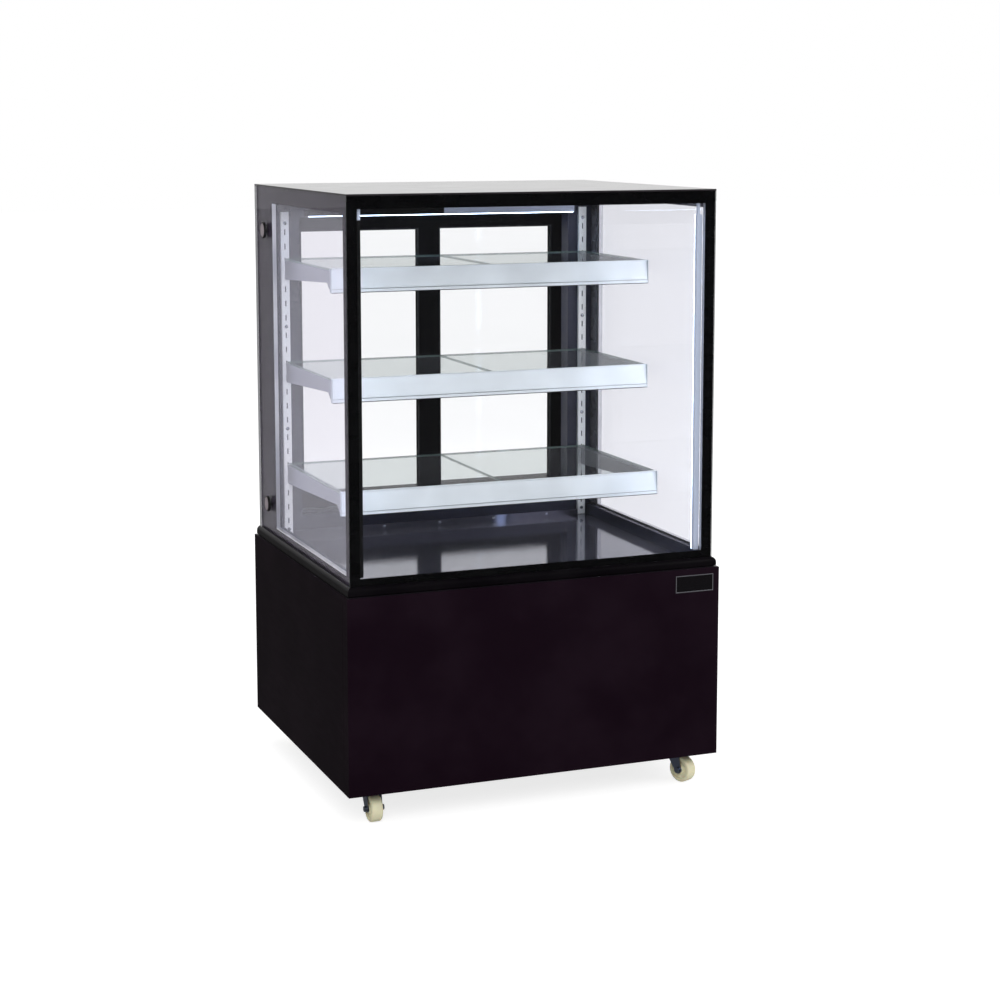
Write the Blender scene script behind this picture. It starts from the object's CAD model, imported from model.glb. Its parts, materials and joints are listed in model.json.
"""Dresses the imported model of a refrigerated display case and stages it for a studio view.

All lengths are in metres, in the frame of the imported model: +Z up, the front glass towards
-Y, and the origin on the floor under the middle of the base.
"""

import json
import logging
import math
from dataclasses import dataclass
from enum import Enum
from typing import Sequence, Union

import bpy
from mathutils import Matrix, Vector

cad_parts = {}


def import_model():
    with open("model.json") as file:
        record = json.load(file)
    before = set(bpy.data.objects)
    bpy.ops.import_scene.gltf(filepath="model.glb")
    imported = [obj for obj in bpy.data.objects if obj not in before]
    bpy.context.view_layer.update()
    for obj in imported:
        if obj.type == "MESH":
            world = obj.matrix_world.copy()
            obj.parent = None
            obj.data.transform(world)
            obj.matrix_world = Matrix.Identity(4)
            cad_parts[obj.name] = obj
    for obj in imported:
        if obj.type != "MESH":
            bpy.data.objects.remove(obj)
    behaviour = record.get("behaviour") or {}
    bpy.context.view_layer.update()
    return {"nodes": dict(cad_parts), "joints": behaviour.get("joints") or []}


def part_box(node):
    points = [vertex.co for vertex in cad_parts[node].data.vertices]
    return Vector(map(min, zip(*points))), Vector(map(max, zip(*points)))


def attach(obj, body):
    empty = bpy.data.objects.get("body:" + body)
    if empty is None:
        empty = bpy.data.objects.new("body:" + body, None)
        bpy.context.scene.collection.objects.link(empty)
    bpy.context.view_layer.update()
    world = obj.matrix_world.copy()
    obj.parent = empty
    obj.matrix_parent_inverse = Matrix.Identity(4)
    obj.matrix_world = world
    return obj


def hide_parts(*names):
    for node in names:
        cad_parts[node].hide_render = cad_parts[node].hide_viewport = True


LOG = logging.getLogger("display_case")
GLASS_IOR = 1.5
Colour = tuple[float, float, float]
Number = Union[float, "Maths"]


def srgb(red: float, green: float, blue: float) -> Colour:
    """Turn 8-bit screen values into the linear colour that shaders take.

    Args:
        red: Screen red, from 0 to 255.
        green: Screen green, from 0 to 255.
        blue: Screen blue, from 0 to 255.

    Returns:
        The linear colour.
    """
    return tuple(
        v / 12.92 if v <= 0.04045 else ((v + 0.055) / 1.055) ** 2.4
        for v in (red / 255, green / 255, blue / 255)
    )


class Axis(Enum):
    """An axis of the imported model."""

    X = 0
    Y = 1
    Z = 2


class Maths:
    """A shader socket that takes part in plain arithmetic."""

    def __init__(self, shader: "Shader", socket: bpy.types.NodeSocket) -> None:
        """Keep the shader that holds the nodes, and the socket."""
        self.shader = shader
        self.socket = socket

    def _join(self, operation: str, *values: Number) -> "Maths":
        """Add one Math node.

        Args:
            operation: Blender's name for the operation.
            values: The inputs in order, as numbers or sockets.

        Returns:
            The node's result.
        """
        inputs = dict(enumerate(values))
        node = self.shader.node("ShaderNodeMath", {"operation": operation}, inputs)
        return Maths(self.shader, node.outputs[0])

    def __add__(self, other: Number) -> "Maths":
        """Sum of two values."""
        return self._join("ADD", self, other)

    def __sub__(self, other: Number) -> "Maths":
        """Difference of two values."""
        return self._join("SUBTRACT", self, other)

    def __rsub__(self, other: Number) -> "Maths":
        """Difference, with the socket taken away."""
        return self._join("SUBTRACT", other, self)

    def __mul__(self, other: Number) -> "Maths":
        """Product of two values."""
        return self._join("MULTIPLY", self, other)

    def __truediv__(self, other: Number) -> "Maths":
        """Quotient of two values."""
        return self._join("DIVIDE", self, other)

    def __gt__(self, other: Number) -> "Maths":
        """One where the socket is larger, or else zero."""
        return self._join("GREATER_THAN", self, other)

    def __lt__(self, other: Number) -> "Maths":
        """One where the socket is smaller, or else zero."""
        return self._join("LESS_THAN", self, other)

    def __abs__(self) -> "Maths":
        """Size without sign."""
        return self._join("ABSOLUTE", self)

    def wave(self, length: float) -> "Maths":
        """Triangle wave from 0 to 1 that repeats with the given length."""
        return self._join("PINGPONG", self / (length / 2), 1.0)

    def largest(self, other: Number) -> "Maths":
        """The larger of two values."""
        return self._join("MAXIMUM", self, other)

    def steps(self, low: float, high: float) -> "Maths":
        """Zero below low, one above high and a smooth rise between them."""
        node = self.shader.node(
            "ShaderNodeMapRange",
            {"interpolation_type": "SMOOTHSTEP"},
            {"Value": self, "From Min": low, "From Max": high},
        )
        return Maths(self.shader, node.outputs[0])


class Shader:
    """Node tree of one material, with short ways to add nodes to it."""

    def __init__(self, name: str) -> None:
        """Start an empty material of that name."""
        self.material = bpy.data.materials.new(name)
        self.material.use_nodes = True
        self._start(self.material.node_tree, "ShaderNodeOutputMaterial")

    def _start(self, tree: bpy.types.NodeTree, output: str) -> None:
        """Empty a node tree and give it its output node."""
        self.tree = tree
        self.tree.nodes.clear()
        self.output = self.node(output)

    @classmethod
    def of_tree(cls, tree: bpy.types.NodeTree, output: str) -> "Shader":
        """Work on a node tree that already exists, such as the world's."""
        shader = cls.__new__(cls)
        shader.material = None
        shader._start(tree, output)
        return shader

    def node(
        self, kind: str, settings: dict | None = None, inputs: dict | None = None
    ) -> bpy.types.Node:
        """Add a node.

        Args:
            kind: The node's type.
            settings: Its properties, set first.
            inputs: Values or links of its sockets, by name or number.

        Returns:
            The node.
        """
        made = self.tree.nodes.new(kind)
        for key, value in (settings or {}).items():
            setattr(made, key, value)
        for key, value in (inputs or {}).items():
            self.feed(made.inputs[key], value)
        return made

    def feed(self, socket: bpy.types.NodeSocket, value: object) -> None:
        """Set a socket to a number or colour, or link it."""
        if isinstance(value, Maths):
            value = value.socket
        if isinstance(value, bpy.types.NodeSocket):
            self.tree.links.new(value, socket)
        elif socket.type == "RGBA":
            socket.default_value = (*value, 1.0)
        else:
            socket.default_value = value

    def place(self) -> bpy.types.NodeSocket:
        """Object coordinates, which are metres in the model's frame."""
        return self.node("ShaderNodeTexCoord").outputs["Object"]

    def along(self, axis: Axis) -> Maths:
        """One object coordinate."""
        split = self.node("ShaderNodeSeparateXYZ", inputs={0: self.place()})
        return Maths(self, split.outputs[axis.value])

    def facing(self, axis: Axis) -> Maths:
        """One component of the surface's own normal."""
        normal = self.node("ShaderNodeNewGeometry").outputs["True Normal"]
        split = self.node("ShaderNodeSeparateXYZ", inputs={0: normal})
        return Maths(self, split.outputs[axis.value])

    def stretched(self, scale: Sequence[float]) -> bpy.types.NodeSocket:
        """Object coordinates multiplied along each axis."""
        mapping = self.node("ShaderNodeMapping", inputs={0: self.place(), "Scale": scale})
        return mapping.outputs[0]

    def noise(
        self, scale: float, detail: float = 3.0, stretch: Sequence[float] | None = None
    ) -> Maths:
        """Noise from 0 to 1.

        Args:
            scale: Features per metre, before any stretch.
            detail: Octaves of finer noise.
            stretch: Multiplies the coordinates along each axis first.

        Returns:
            The noise value.
        """
        where = self.stretched(stretch) if stretch else self.place()
        inputs = {"Vector": where, "Scale": scale, "Detail": detail}
        return Maths(self, self.node("ShaderNodeTexNoise", inputs=inputs).outputs[0])

    def mix(self, share: Number, first: object, second: object) -> bpy.types.NodeSocket:
        """Blend of two colours; share 0 gives the first."""
        node = self.node(
            "ShaderNodeMix",
            {"data_type": "RGBA"},
            {"Factor": share, 6: first, 7: second},
        )
        return node.outputs[2]

    def bump(self, height: Maths, distance: float) -> bpy.types.NodeSocket:
        """Normal that shows a height.

        Args:
            height: Height from 0 to 1.
            distance: Metres that a height of 1 stands for.

        Returns:
            The normal.
        """
        inputs = {"Height": height, "Distance": distance, "Strength": 1.0}
        return self.node("ShaderNodeBump", inputs=inputs).outputs[0]

    def surface(self, **inputs: object) -> bpy.types.Node:
        """Principled shader with the named sockets set; an underscore stands for a space."""
        named = {key.replace("_", " "): value for key, value in inputs.items()}
        return self.node("ShaderNodeBsdfPrincipled", inputs=named)

    def finish(self, shader: bpy.types.Node) -> bpy.types.Material | None:
        """Send a shader to the output and give back the material."""
        self.feed(self.output.inputs["Surface"], shader.outputs[0])
        return self.material


@dataclass(frozen=True)
class PowderCoat:
    """Baked powder coat with fine orange peel and faint wipe marks."""

    name: str
    colour: Colour
    roughness: float = 0.38
    grain: float = 900.0
    depth: float = 0.00006
    coat: float = 0.0
    specular: float = 0.5

    def build(self) -> bpy.types.Material:
        """Make the material."""
        s = Shader(self.name)
        peel = s.noise(self.grain, 2.0)
        cloud = s.noise(6.0, 4.0)
        wipe = s.noise(14.0, 4.0, (1.0, 1.0, 5.0))
        lighter = tuple(min(1.0, c * 1.22 + 0.0015) for c in self.colour)
        return s.finish(
            s.surface(
                Base_Color=s.mix(cloud.steps(0.35, 0.7), self.colour, lighter),
                Roughness=wipe * 0.08 + (self.roughness - 0.04),
                Coat_Weight=self.coat,
                Coat_Roughness=0.08,
                Specular_IOR_Level=self.specular,
                Normal=s.bump(peel, self.depth),
            )
        )


@dataclass(frozen=True)
class Metal:
    """Bare or plated metal, brushed along one axis where it has a grain."""

    name: str
    colour: Colour
    roughness: float = 0.3
    brushed: Axis | None = None
    grain: float = 1400.0
    streak: float = 0.12
    metallic: float = 1.0

    def build(self) -> bpy.types.Material:
        """Make the material."""
        s = Shader(self.name)
        stretch = None
        if self.brushed is not None:
            stretch = [0.02 if a is self.brushed else 1.0 for a in Axis]
        grain = s.noise(self.grain, 3.0, stretch)
        cloud = s.noise(9.0, 3.0)
        darker = tuple(c * 0.86 for c in self.colour)
        return s.finish(
            s.surface(
                Base_Color=s.mix(cloud.steps(0.3, 0.75), darker, self.colour),
                Metallic=self.metallic,
                Roughness=grain * self.streak + (self.roughness - self.streak / 2),
                Normal=s.bump(grain, 0.00003),
            )
        )


@dataclass(frozen=True)
class Moulding:
    """Moulded plastic with a fine spark-eroded grain."""

    name: str
    colour: Colour
    roughness: float = 0.5
    grain: float = 1600.0
    depth: float = 0.00005
    translucence: float = 0.0

    def build(self) -> bpy.types.Material:
        """Make the material."""
        s = Shader(self.name)
        grain = s.noise(self.grain, 2.0)
        cloud = s.noise(20.0, 3.0)
        darker = tuple(c * 0.88 for c in self.colour)
        return s.finish(
            s.surface(
                Base_Color=s.mix(cloud.steps(0.3, 0.7), darker, self.colour),
                Roughness=grain * 0.1 + (self.roughness - 0.05),
                Subsurface_Weight=self.translucence,
                Subsurface_Scale=0.004,
                Normal=s.bump(grain, self.depth),
            )
        )


@dataclass(frozen=True)
class LampBody:
    """Lamp housings: pale, but black down the front left corner as in the photograph."""

    name: str
    colour: Colour
    black: Colour
    level: float

    def build(self) -> bpy.types.Material:
        """Make the material."""
        s = Shader(self.name)
        low = (s.along(Axis.Z) < self.level) * (s.along(Axis.X) < 0.0)
        return s.finish(
            s.surface(
                Base_Color=s.mix(low, self.colour, self.black),
                Roughness=s.noise(700.0) * 0.08 + 0.34,
                Specular_IOR_Level=0.25,
            )
        )


@dataclass(frozen=True)
class Pane:
    """Clear glass: tinted sight, gloss on the near face, a faint haze and darker cut edges."""

    name: str
    thin_axis: Axis
    tint: Colour = (0.90, 0.93, 0.93)
    edge: Colour = (0.16, 0.30, 0.26)
    gloss: float = 0.012
    haze: float = 0.0
    haze_within: float = 10.0
    shine: float = 0.35
    deep: bool = False
    veil_colour: Colour = (0.79, 0.79, 0.86)
    dust_share: float = 0.001
    edge_share: float = 0.75

    def sight(self, s: Shader) -> bpy.types.Node:
        """What passes through the pane.

        A few panes in a row use up Blender's transparent bounces, so the deep ones pass sight
        as glass that doesn't bend it, and only lamp light as transparent.

        Args:
            s: The shader that the nodes go into.

        Returns:
            The shader node.
        """
        clear = s.node("ShaderNodeBsdfTransparent", inputs={"Color": self.tint})
        if not self.deep:
            return clear
        glass = s.surface(
            Base_Color=tuple(c * c for c in self.tint),
            Roughness=0.0,
            IOR=1.0,
            Transmission_Weight=1.0,
            Specular_IOR_Level=0.0,
        )
        lamp_rays = s.node("ShaderNodeLightPath").outputs["Is Shadow Ray"]
        return s.node(
            "ShaderNodeMixShader",
            inputs={0: lamp_rays, 1: glass.outputs[0], 2: clear.outputs[0]},
        )

    def build(self) -> bpy.types.Material:
        """Make the material."""
        s = Shader(self.name)
        dust = s.noise(18.0, 5.0)
        clear = self.sight(s)
        veil = s.surface(
            Base_Color=self.veil_colour,
            Roughness=dust * 0.02 + self.gloss,
            Specular_IOR_Level=0.0,
        )
        gloss = s.node("ShaderNodeBsdfGlossy", inputs={"Roughness": self.gloss})
        fresnel = Maths(s, s.node("ShaderNodeFresnel", inputs={"IOR": GLASS_IOR}).outputs[0])
        # The far face of a pane would mirror everything inside the glass, so it only lets through.
        near_face = 1.0 - Maths(s, s.node("ShaderNodeNewGeometry").outputs["Backfacing"])
        lively = s.node(
            "ShaderNodeMixShader",
            inputs={0: fresnel * near_face * self.shine, 1: clear.outputs[0], 2: gloss.outputs[0]},
        )
        # Only the panes that lie nearer the middle of the case than this carry the haze.
        hazy = abs(s.along(self.thin_axis)) < self.haze_within
        hazed = s.node(
            "ShaderNodeMixShader",
            inputs={
                0: dust * self.dust_share + hazy * self.haze,
                1: lively.outputs[0],
                2: veil.outputs[0],
            },
        )
        cut = s.surface(Base_Color=self.edge, Roughness=0.15, Coat_Weight=0.6)
        cut_share = 1.0 - abs(s.facing(self.thin_axis)).steps(0.4, 0.6)
        whole = s.node(
            "ShaderNodeMixShader",
            inputs={0: cut_share * self.edge_share, 1: hazed.outputs[0], 2: cut.outputs[0]},
        )
        return s.finish(whole)


@dataclass(frozen=True)
class Enamel:
    """Deep gloss print or lacquer, seen as if behind a clear skin."""

    name: str
    colour: Colour
    roughness: float = 0.06
    coat: float = 0.8
    specular: float = 0.5

    def build(self) -> bpy.types.Material:
        """Make the material."""
        s = Shader(self.name)
        smear = s.noise(11.0, 4.0, (1.0, 1.0, 3.0))
        lighter = tuple(c * 1.3 + 0.001 for c in self.colour)
        return s.finish(
            s.surface(
                Base_Color=s.mix(smear.steps(0.4, 0.8), self.colour, lighter),
                Roughness=smear * 0.05 + self.roughness,
                Coat_Weight=self.coat,
                Coat_Roughness=0.03,
                Specular_IOR_Level=self.specular,
                Normal=s.bump(s.noise(35.0, 2.0), 0.00004),
            )
        )


@dataclass(frozen=True)
class Diffuser:
    """Opal lamp cover with the row of light points faintly visible behind it."""

    name: str
    colour: Colour
    strength: float
    pitch: float = 0.016

    def build(self) -> bpy.types.Material:
        """Make the material."""
        s = Shader(self.name)
        dots = (s.along(Axis.X) + s.along(Axis.Z)).wave(self.pitch).steps(0.2, 1.0)
        glow = s.mix(dots, tuple(c * 0.8 for c in self.colour), self.colour)
        return s.finish(
            s.surface(
                Base_Color=(0.85, 0.88, 0.92),
                Roughness=0.35,
                Emission_Color=glow,
                Emission_Strength=self.strength,
            )
        )


@dataclass(frozen=True)
class RimmedPlate:
    """Gloss black plate whose raised rim is left as bright metal."""

    name: str
    node: str
    colour: Colour
    rim_colour: Colour
    rim: float = 0.0022

    def build(self) -> bpy.types.Material:
        """Make the material."""
        s = Shader(self.name)
        low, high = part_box(self.node)
        middle = (low + high) / 2
        half = (high - low) / 2 - Vector((self.rim, 0.0, self.rim))
        beyond_x = abs(s.along(Axis.X) - middle.x) > half.x
        beyond_z = abs(s.along(Axis.Z) - middle.z) > half.z
        rim = beyond_x.largest(beyond_z)
        return s.finish(
            s.surface(
                Base_Color=s.mix(rim, self.colour, self.rim_colour),
                Metallic=rim,
                Roughness=rim * 0.14 + s.noise(60.0) * 0.05 + 0.1,
                Specular_IOR_Level=0.3,
            )
        )


@dataclass(frozen=True)
class Glow:
    """Lit segment of a display."""

    name: str
    colour: Colour
    strength: float = 1.6

    def build(self) -> bpy.types.Material:
        """Make the material."""
        s = Shader(self.name)
        flicker = s.noise(900.0).steps(0.2, 0.8)
        lit = s.mix(flicker, tuple(c * 0.85 for c in self.colour), self.colour)
        return s.finish(
            s.surface(
                Base_Color=self.colour, Emission_Color=lit, Emission_Strength=self.strength
            )
        )


class Finish(Enum):
    """Every finish on the case."""

    BASE_PAINT = PowderCoat("base_paint", srgb(18, 6, 16), 0.5, specular=0.04)
    FRAME_PAINT = PowderCoat("frame_paint", srgb(28, 24, 30), 0.45, specular=0.2)
    TRIM = PowderCoat("trim_black", srgb(5, 3, 6), 0.32, 500.0, 0.00003, specular=0.08)
    PRINT = Enamel("print_black", srgb(2, 2, 3), 0.2, coat=0.0, specular=0.03)
    SIDE_PRINT = Enamel("side_print", srgb(30, 24, 36), 0.2, coat=0.0, specular=0.05)
    ROOF = Enamel("roof_gloss", srgb(34, 31, 34), 0.12, coat=0.0, specular=0.3)
    SIDE_GLASS = Pane(
        "side_glass",
        Axis.X,
        (0.964, 0.962, 0.975),
        (0.03, 0.035, 0.04),
        haze=0.075,
        haze_within=0.428,
        deep=True,
    )
    FRONT_GLASS = Pane("front_glass", Axis.Y, (0.985, 0.988, 0.99), (0.02, 0.025, 0.03))
    DOOR_GLASS = Pane("door_glass", Axis.Y, (0.982, 0.981, 0.983), deep=True)
    SHELF_GLASS = Pane(
        "shelf_glass",
        Axis.Z,
        (0.83, 0.855, 0.85),
        (0.22, 0.32, 0.29),
        gloss=0.03,
        haze=0.02,
        shine=0.5,
    )
    SPACER = Metal("spacer_bar", srgb(205, 205, 210), 0.32)
    TRACK = Metal("track_aluminium", srgb(150, 152, 158), 0.3, Axis.X)
    CLAMP = Moulding("clamp_black", srgb(16, 15, 17), 0.4)
    CLAMP_FACE = Moulding("clamp_face", srgb(148, 138, 144), 0.3, 500.0, 0.00002)
    LINING = PowderCoat("lining_dark", srgb(42, 44, 60), 0.42, specular=0.25)
    DECK = Metal("deck_polished", srgb(116, 116, 132), 0.07, Axis.X, 900.0, 0.04, metallic=0.75)
    SCREW = Metal("bright_screw", srgb(190, 192, 200), 0.25)
    UPRIGHT = PowderCoat("upright_white", srgb(246, 249, 251), 0.35)
    BRACKET = PowderCoat("bracket_grey", srgb(136, 138, 148), 0.4)
    STRIP = Metal("strip_aluminium", srgb(240, 246, 252), 0.45, Axis.X, 2600.0, 0.05, metallic=0.1)
    STRIP_CAP = Moulding("strip_cap", srgb(188, 194, 204), 0.4)
    LAMP_BODY = LampBody("lamp_housing", srgb(206, 214, 236), srgb(6, 6, 8), 1.334)
    LAMP_LENS = Diffuser("lamp_lens", (0.62, 0.78, 1.0), 9.0)
    DOOR_FRAME = PowderCoat("door_black", srgb(4, 3, 6), 0.4, 1200.0, 0.00004, specular=0.05)
    RUBBER = Moulding("seal_rubber", srgb(20, 20, 22), 0.62, 700.0, 0.00008)
    CASTOR_ZINC = Metal("castor_zinc", srgb(128, 136, 156), 0.3)
    NYLON = Moulding("castor_nylon", srgb(220, 215, 182), 0.42, 900.0, 0.00003, translucence=0.15)
    FOAM_SKIN = Moulding("tub_skin", srgb(222, 224, 226), 0.45)
    FINS = Metal("fin_aluminium", srgb(196, 198, 202), 0.35, Axis.Z)
    GALVANISED = Metal("galvanised", srgb(168, 172, 178), 0.38)
    COMPRESSOR = PowderCoat("compressor_black", srgb(22, 22, 23), 0.28, 300.0, 0.00008, coat=0.4)
    FAN_BLACK = Moulding("fan_black", srgb(28, 28, 30), 0.42)
    COPPER = Metal("copper_tube", srgb(206, 128, 88), 0.28)
    BRASS = Metal("brass_nut", srgb(196, 164, 92), 0.3)
    CONTROL = Moulding("control_plastic", srgb(34, 34, 38), 0.48)
    DISPLAY = Enamel("display_window", srgb(16, 5, 6), 0.05, 0.6, 0.5)
    DIGIT = Glow("display_digit", (1.0, 0.09, 0.04))
    MARK = Moulding("switch_mark", srgb(236, 238, 236), 0.4)
    ROCKER_GREEN = Moulding("rocker_green", srgb(20, 150, 62), 0.22, 400.0, 0.00001, translucence=0.3)
    ROCKER_AMBER = Moulding("rocker_amber", srgb(224, 128, 20), 0.22, 400.0, 0.00001, translucence=0.3)
    BADGE = RimmedPlate("badge_plate", "blank_badge", srgb(8, 6, 9), srgb(196, 196, 204))


class FinishShop:
    """Makes each material once and puts it on pieces."""

    def __init__(self) -> None:
        """Start with no materials made."""
        self._made: dict[Finish, bpy.types.Material] = {}

    def material(self, finish: Finish) -> bpy.types.Material:
        """The material of a finish, made on first use."""
        if finish not in self._made:
            self._made[finish] = finish.value.build()
        return self._made[finish]

    def paint(self, piece: bpy.types.Object, finish: Finish) -> None:
        """Give every slot of a piece the same finish."""
        material = self.material(finish)
        if not piece.material_slots:
            piece.data.materials.append(material)
        for slot in piece.material_slots:
            slot.material = material


class Bench:
    """Models new pieces with Blender's own operators, in the frame's coordinates."""

    overshoot = 0.01
    smooth_angle = math.radians(35)

    def __init__(self, shop: FinishShop) -> None:
        """Keep the shop that paints finished pieces."""
        self.shop = shop

    @staticmethod
    def _deselect() -> None:
        """Nothing stays selected before a new piece is started."""
        bpy.ops.object.select_all(action="DESELECT")

    @staticmethod
    def _edit() -> None:
        """Enter edit mode with everything selected."""
        bpy.ops.object.mode_set(mode="EDIT")
        bpy.ops.mesh.select_all(action="SELECT")

    @staticmethod
    def _leave() -> None:
        """Make the normals point outwards and leave edit mode."""
        bpy.ops.mesh.select_all(action="SELECT")
        bpy.ops.mesh.normals_make_consistent(inside=False)
        bpy.ops.object.mode_set(mode="OBJECT")

    def block(
        self, name: str, low: Vector, high: Vector, bevel: float = 0.0, segments: int = 2
    ) -> bpy.types.Object:
        """A box between two corners, with rounded edges.

        Args:
            name: Name of the piece.
            low: Lowest corner.
            high: Highest corner.
            bevel: Width of the rounding, or 0 for sharp edges.
            segments: Faces across the rounding.

        Returns:
            The piece.
        """
        self._deselect()
        bpy.ops.mesh.primitive_cube_add(size=1.0)
        piece = bpy.context.object
        piece.name = name
        self._edit()
        bpy.ops.transform.resize(value=high - low)
        bpy.ops.transform.translate(value=(high + low) / 2)
        if bevel:
            bpy.ops.mesh.bevel(offset=bevel, segments=segments, affect="EDGES")
        self._leave()
        return piece

    def turned(
        self,
        name: str,
        place: Vector,
        axis: Vector,
        profile: Sequence[tuple[float, float]],
        sides: int = 32,
    ) -> bpy.types.Object:
        """A turned solid, drawn up ring by ring from its first disc.

        Args:
            name: Name of the piece.
            place: Where height 0 of the profile lies.
            axis: Direction in which the heights rise.
            profile: Radius and height of each ring, in order.
            sides: Number of sides of each ring.

        Returns:
            The piece.
        """
        self._deselect()
        radius, height = profile[0]
        bpy.ops.mesh.primitive_circle_add(
            vertices=sides, radius=radius, fill_type="NGON", location=(0.0, 0.0, height)
        )
        piece = bpy.context.object
        piece.name = name
        bpy.ops.object.transform_apply(location=True)
        self._edit()
        for next_radius, next_height in profile[1:]:
            bpy.ops.mesh.extrude_region_move(
                TRANSFORM_OT_translate={"value": (0.0, 0.0, next_height - height)}
            )
            share = next_radius / radius
            bpy.ops.transform.resize(value=(share, share, 1.0))
            radius, height = next_radius, next_height
        self._leave()
        return self.set_down(piece, place, axis)

    def ring(
        self,
        name: str,
        place: Vector,
        axis: Vector,
        radius: float,
        wire: float,
        steps: int = 40,
        sides: int = 8,
    ) -> bpy.types.Object:
        """A ring of round wire, spun from a small circle.

        Args:
            name: Name of the piece.
            place: Middle of the ring.
            axis: Its axis.
            radius: Radius of the wire's centreline.
            wire: Radius of the wire.
            steps: Steps round the ring.
            sides: Sides of the wire.

        Returns:
            The piece.
        """
        self._deselect()
        bpy.ops.mesh.primitive_circle_add(
            vertices=sides,
            radius=wire,
            location=(radius, 0.0, 0.0),
            rotation=(math.pi / 2, 0.0, 0.0),
        )
        piece = bpy.context.object
        piece.name = name
        bpy.ops.object.transform_apply(location=True, rotation=True)
        self._edit()
        bpy.ops.mesh.spin(
            steps=steps, angle=2 * math.pi, center=(0.0, 0.0, 0.0), axis=(0.0, 0.0, 1.0)
        )
        bpy.ops.mesh.select_all(action="SELECT")
        bpy.ops.mesh.remove_doubles(threshold=wire / 50)
        self._leave()
        bpy.ops.object.shade_smooth()
        return self.set_down(piece, place, axis)

    def rim(
        self, name: str, low: Vector, high: Vector, width: float, depth: float
    ) -> bpy.types.Object:
        """A rectangular rim that faces the rear: an inset plane, opened and given depth.

        Args:
            name: Name of the piece.
            low: Lowest corner of its outline, at its front face.
            high: Highest corner, whose y isn't used.
            width: Width of its four sides.
            depth: Thickness towards the rear, or towards the front where it is negative.

        Returns:
            The piece.
        """
        self._deselect()
        bpy.ops.mesh.primitive_plane_add(size=1.0, rotation=(math.pi / 2, 0.0, 0.0))
        piece = bpy.context.object
        piece.name = name
        bpy.ops.object.transform_apply(rotation=True)
        self._edit()
        bpy.ops.transform.resize(value=(high.x - low.x, 1.0, high.z - low.z))
        bpy.ops.transform.translate(value=((low.x + high.x) / 2, low.y, (low.z + high.z) / 2))
        bpy.ops.mesh.inset(thickness=width)
        bpy.ops.mesh.delete(type="FACE")
        bpy.ops.mesh.select_all(action="SELECT")
        bpy.ops.mesh.extrude_region_move(TRANSFORM_OT_translate={"value": (0.0, depth, 0.0)})
        self._leave()
        return piece

    def opened(
        self, name: str, low: Vector, high: Vector, hole_low: Vector, hole_high: Vector, axis: Axis
    ) -> bpy.types.Object:
        """A flat block with a rectangular window through it.

        Args:
            name: Name of the piece.
            low: Lowest corner of the block.
            high: Highest corner of the block.
            hole_low: Lowest corner of the window; its place along the axis isn't used.
            hole_high: Highest corner of the window, read the same way.
            axis: The axis along which the window goes through.

        Returns:
            The piece.
        """
        start, end = hole_low.copy(), hole_high.copy()
        start[axis.value] = low[axis.value] - self.overshoot
        end[axis.value] = high[axis.value] + self.overshoot
        return self.cut(self.block(name, low, high), self.block("window", start, end))

    def sliced(self, piece: bpy.types.Object, point: Vector, normal: Vector) -> bpy.types.Object:
        """Cut a piece with a plane and drop what lies on the normal's side."""
        self.pick(piece)
        self._edit()
        bpy.ops.mesh.bisect(plane_co=point, plane_no=normal, clear_outer=True, use_fill=True)
        self._leave()
        return piece

    def pick(self, piece: bpy.types.Object) -> None:
        """Make a piece the only one selected."""
        self._deselect()
        bpy.context.view_layer.objects.active = piece
        piece.select_set(True)

    @staticmethod
    def set_down(piece: bpy.types.Object, place: Vector, axis: Vector) -> bpy.types.Object:
        """Turn a piece's own Z to an axis, move it into place and put both in its mesh."""
        piece.rotation_mode = "QUATERNION"
        piece.rotation_quaternion = axis.to_track_quat("Z", "Y")
        piece.location = place
        bpy.ops.object.transform_apply(location=True, rotation=True)
        return piece

    def cut(self, piece: bpy.types.Object, *cutters: bpy.types.Object) -> bpy.types.Object:
        """Take cutters away from a piece."""
        for cutter in cutters:
            self.pick(piece)
            change = piece.modifiers.new("cut", "BOOLEAN")
            change.operation = "DIFFERENCE"
            change.solver = "EXACT"
            change.object = cutter
            bpy.ops.object.modifier_apply(modifier=change.name)
            bpy.data.objects.remove(cutter)
        return piece

    def joined(self, pieces: Sequence[bpy.types.Object], name: str) -> bpy.types.Object:
        """Several pieces made one object."""
        self._deselect()
        for piece in pieces:
            piece.select_set(True)
        bpy.context.view_layer.objects.active = pieces[0]
        if len(pieces) > 1:
            bpy.ops.object.join()
        pieces[0].name = name
        return pieces[0]

    @staticmethod
    def copies(piece: bpy.types.Object, moves: Sequence[Vector]) -> list[bpy.types.Object]:
        """The piece and one copy with its own mesh for each move."""
        made = [piece]
        for move in moves:
            twin = piece.copy()
            twin.data = piece.data.copy()
            twin.data.transform(Matrix.Translation(move))
            bpy.context.scene.collection.objects.link(twin)
            made.append(twin)
        return made

    def fit(
        self, piece: bpy.types.Object, finish: Finish, body: str = "cabinet"
    ) -> bpy.types.Object:
        """Smooth a finished piece, paint it and hang it on its body.

        Args:
            piece: The finished piece.
            finish: Its finish.
            body: The body that carries it.

        Returns:
            The piece.
        """
        self.pick(piece)
        bpy.ops.object.shade_smooth_by_angle(angle=self.smooth_angle)
        self.shop.paint(piece, finish)
        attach(piece, body)
        LOG.info("%s on %s", piece.name, body)
        return piece

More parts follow.
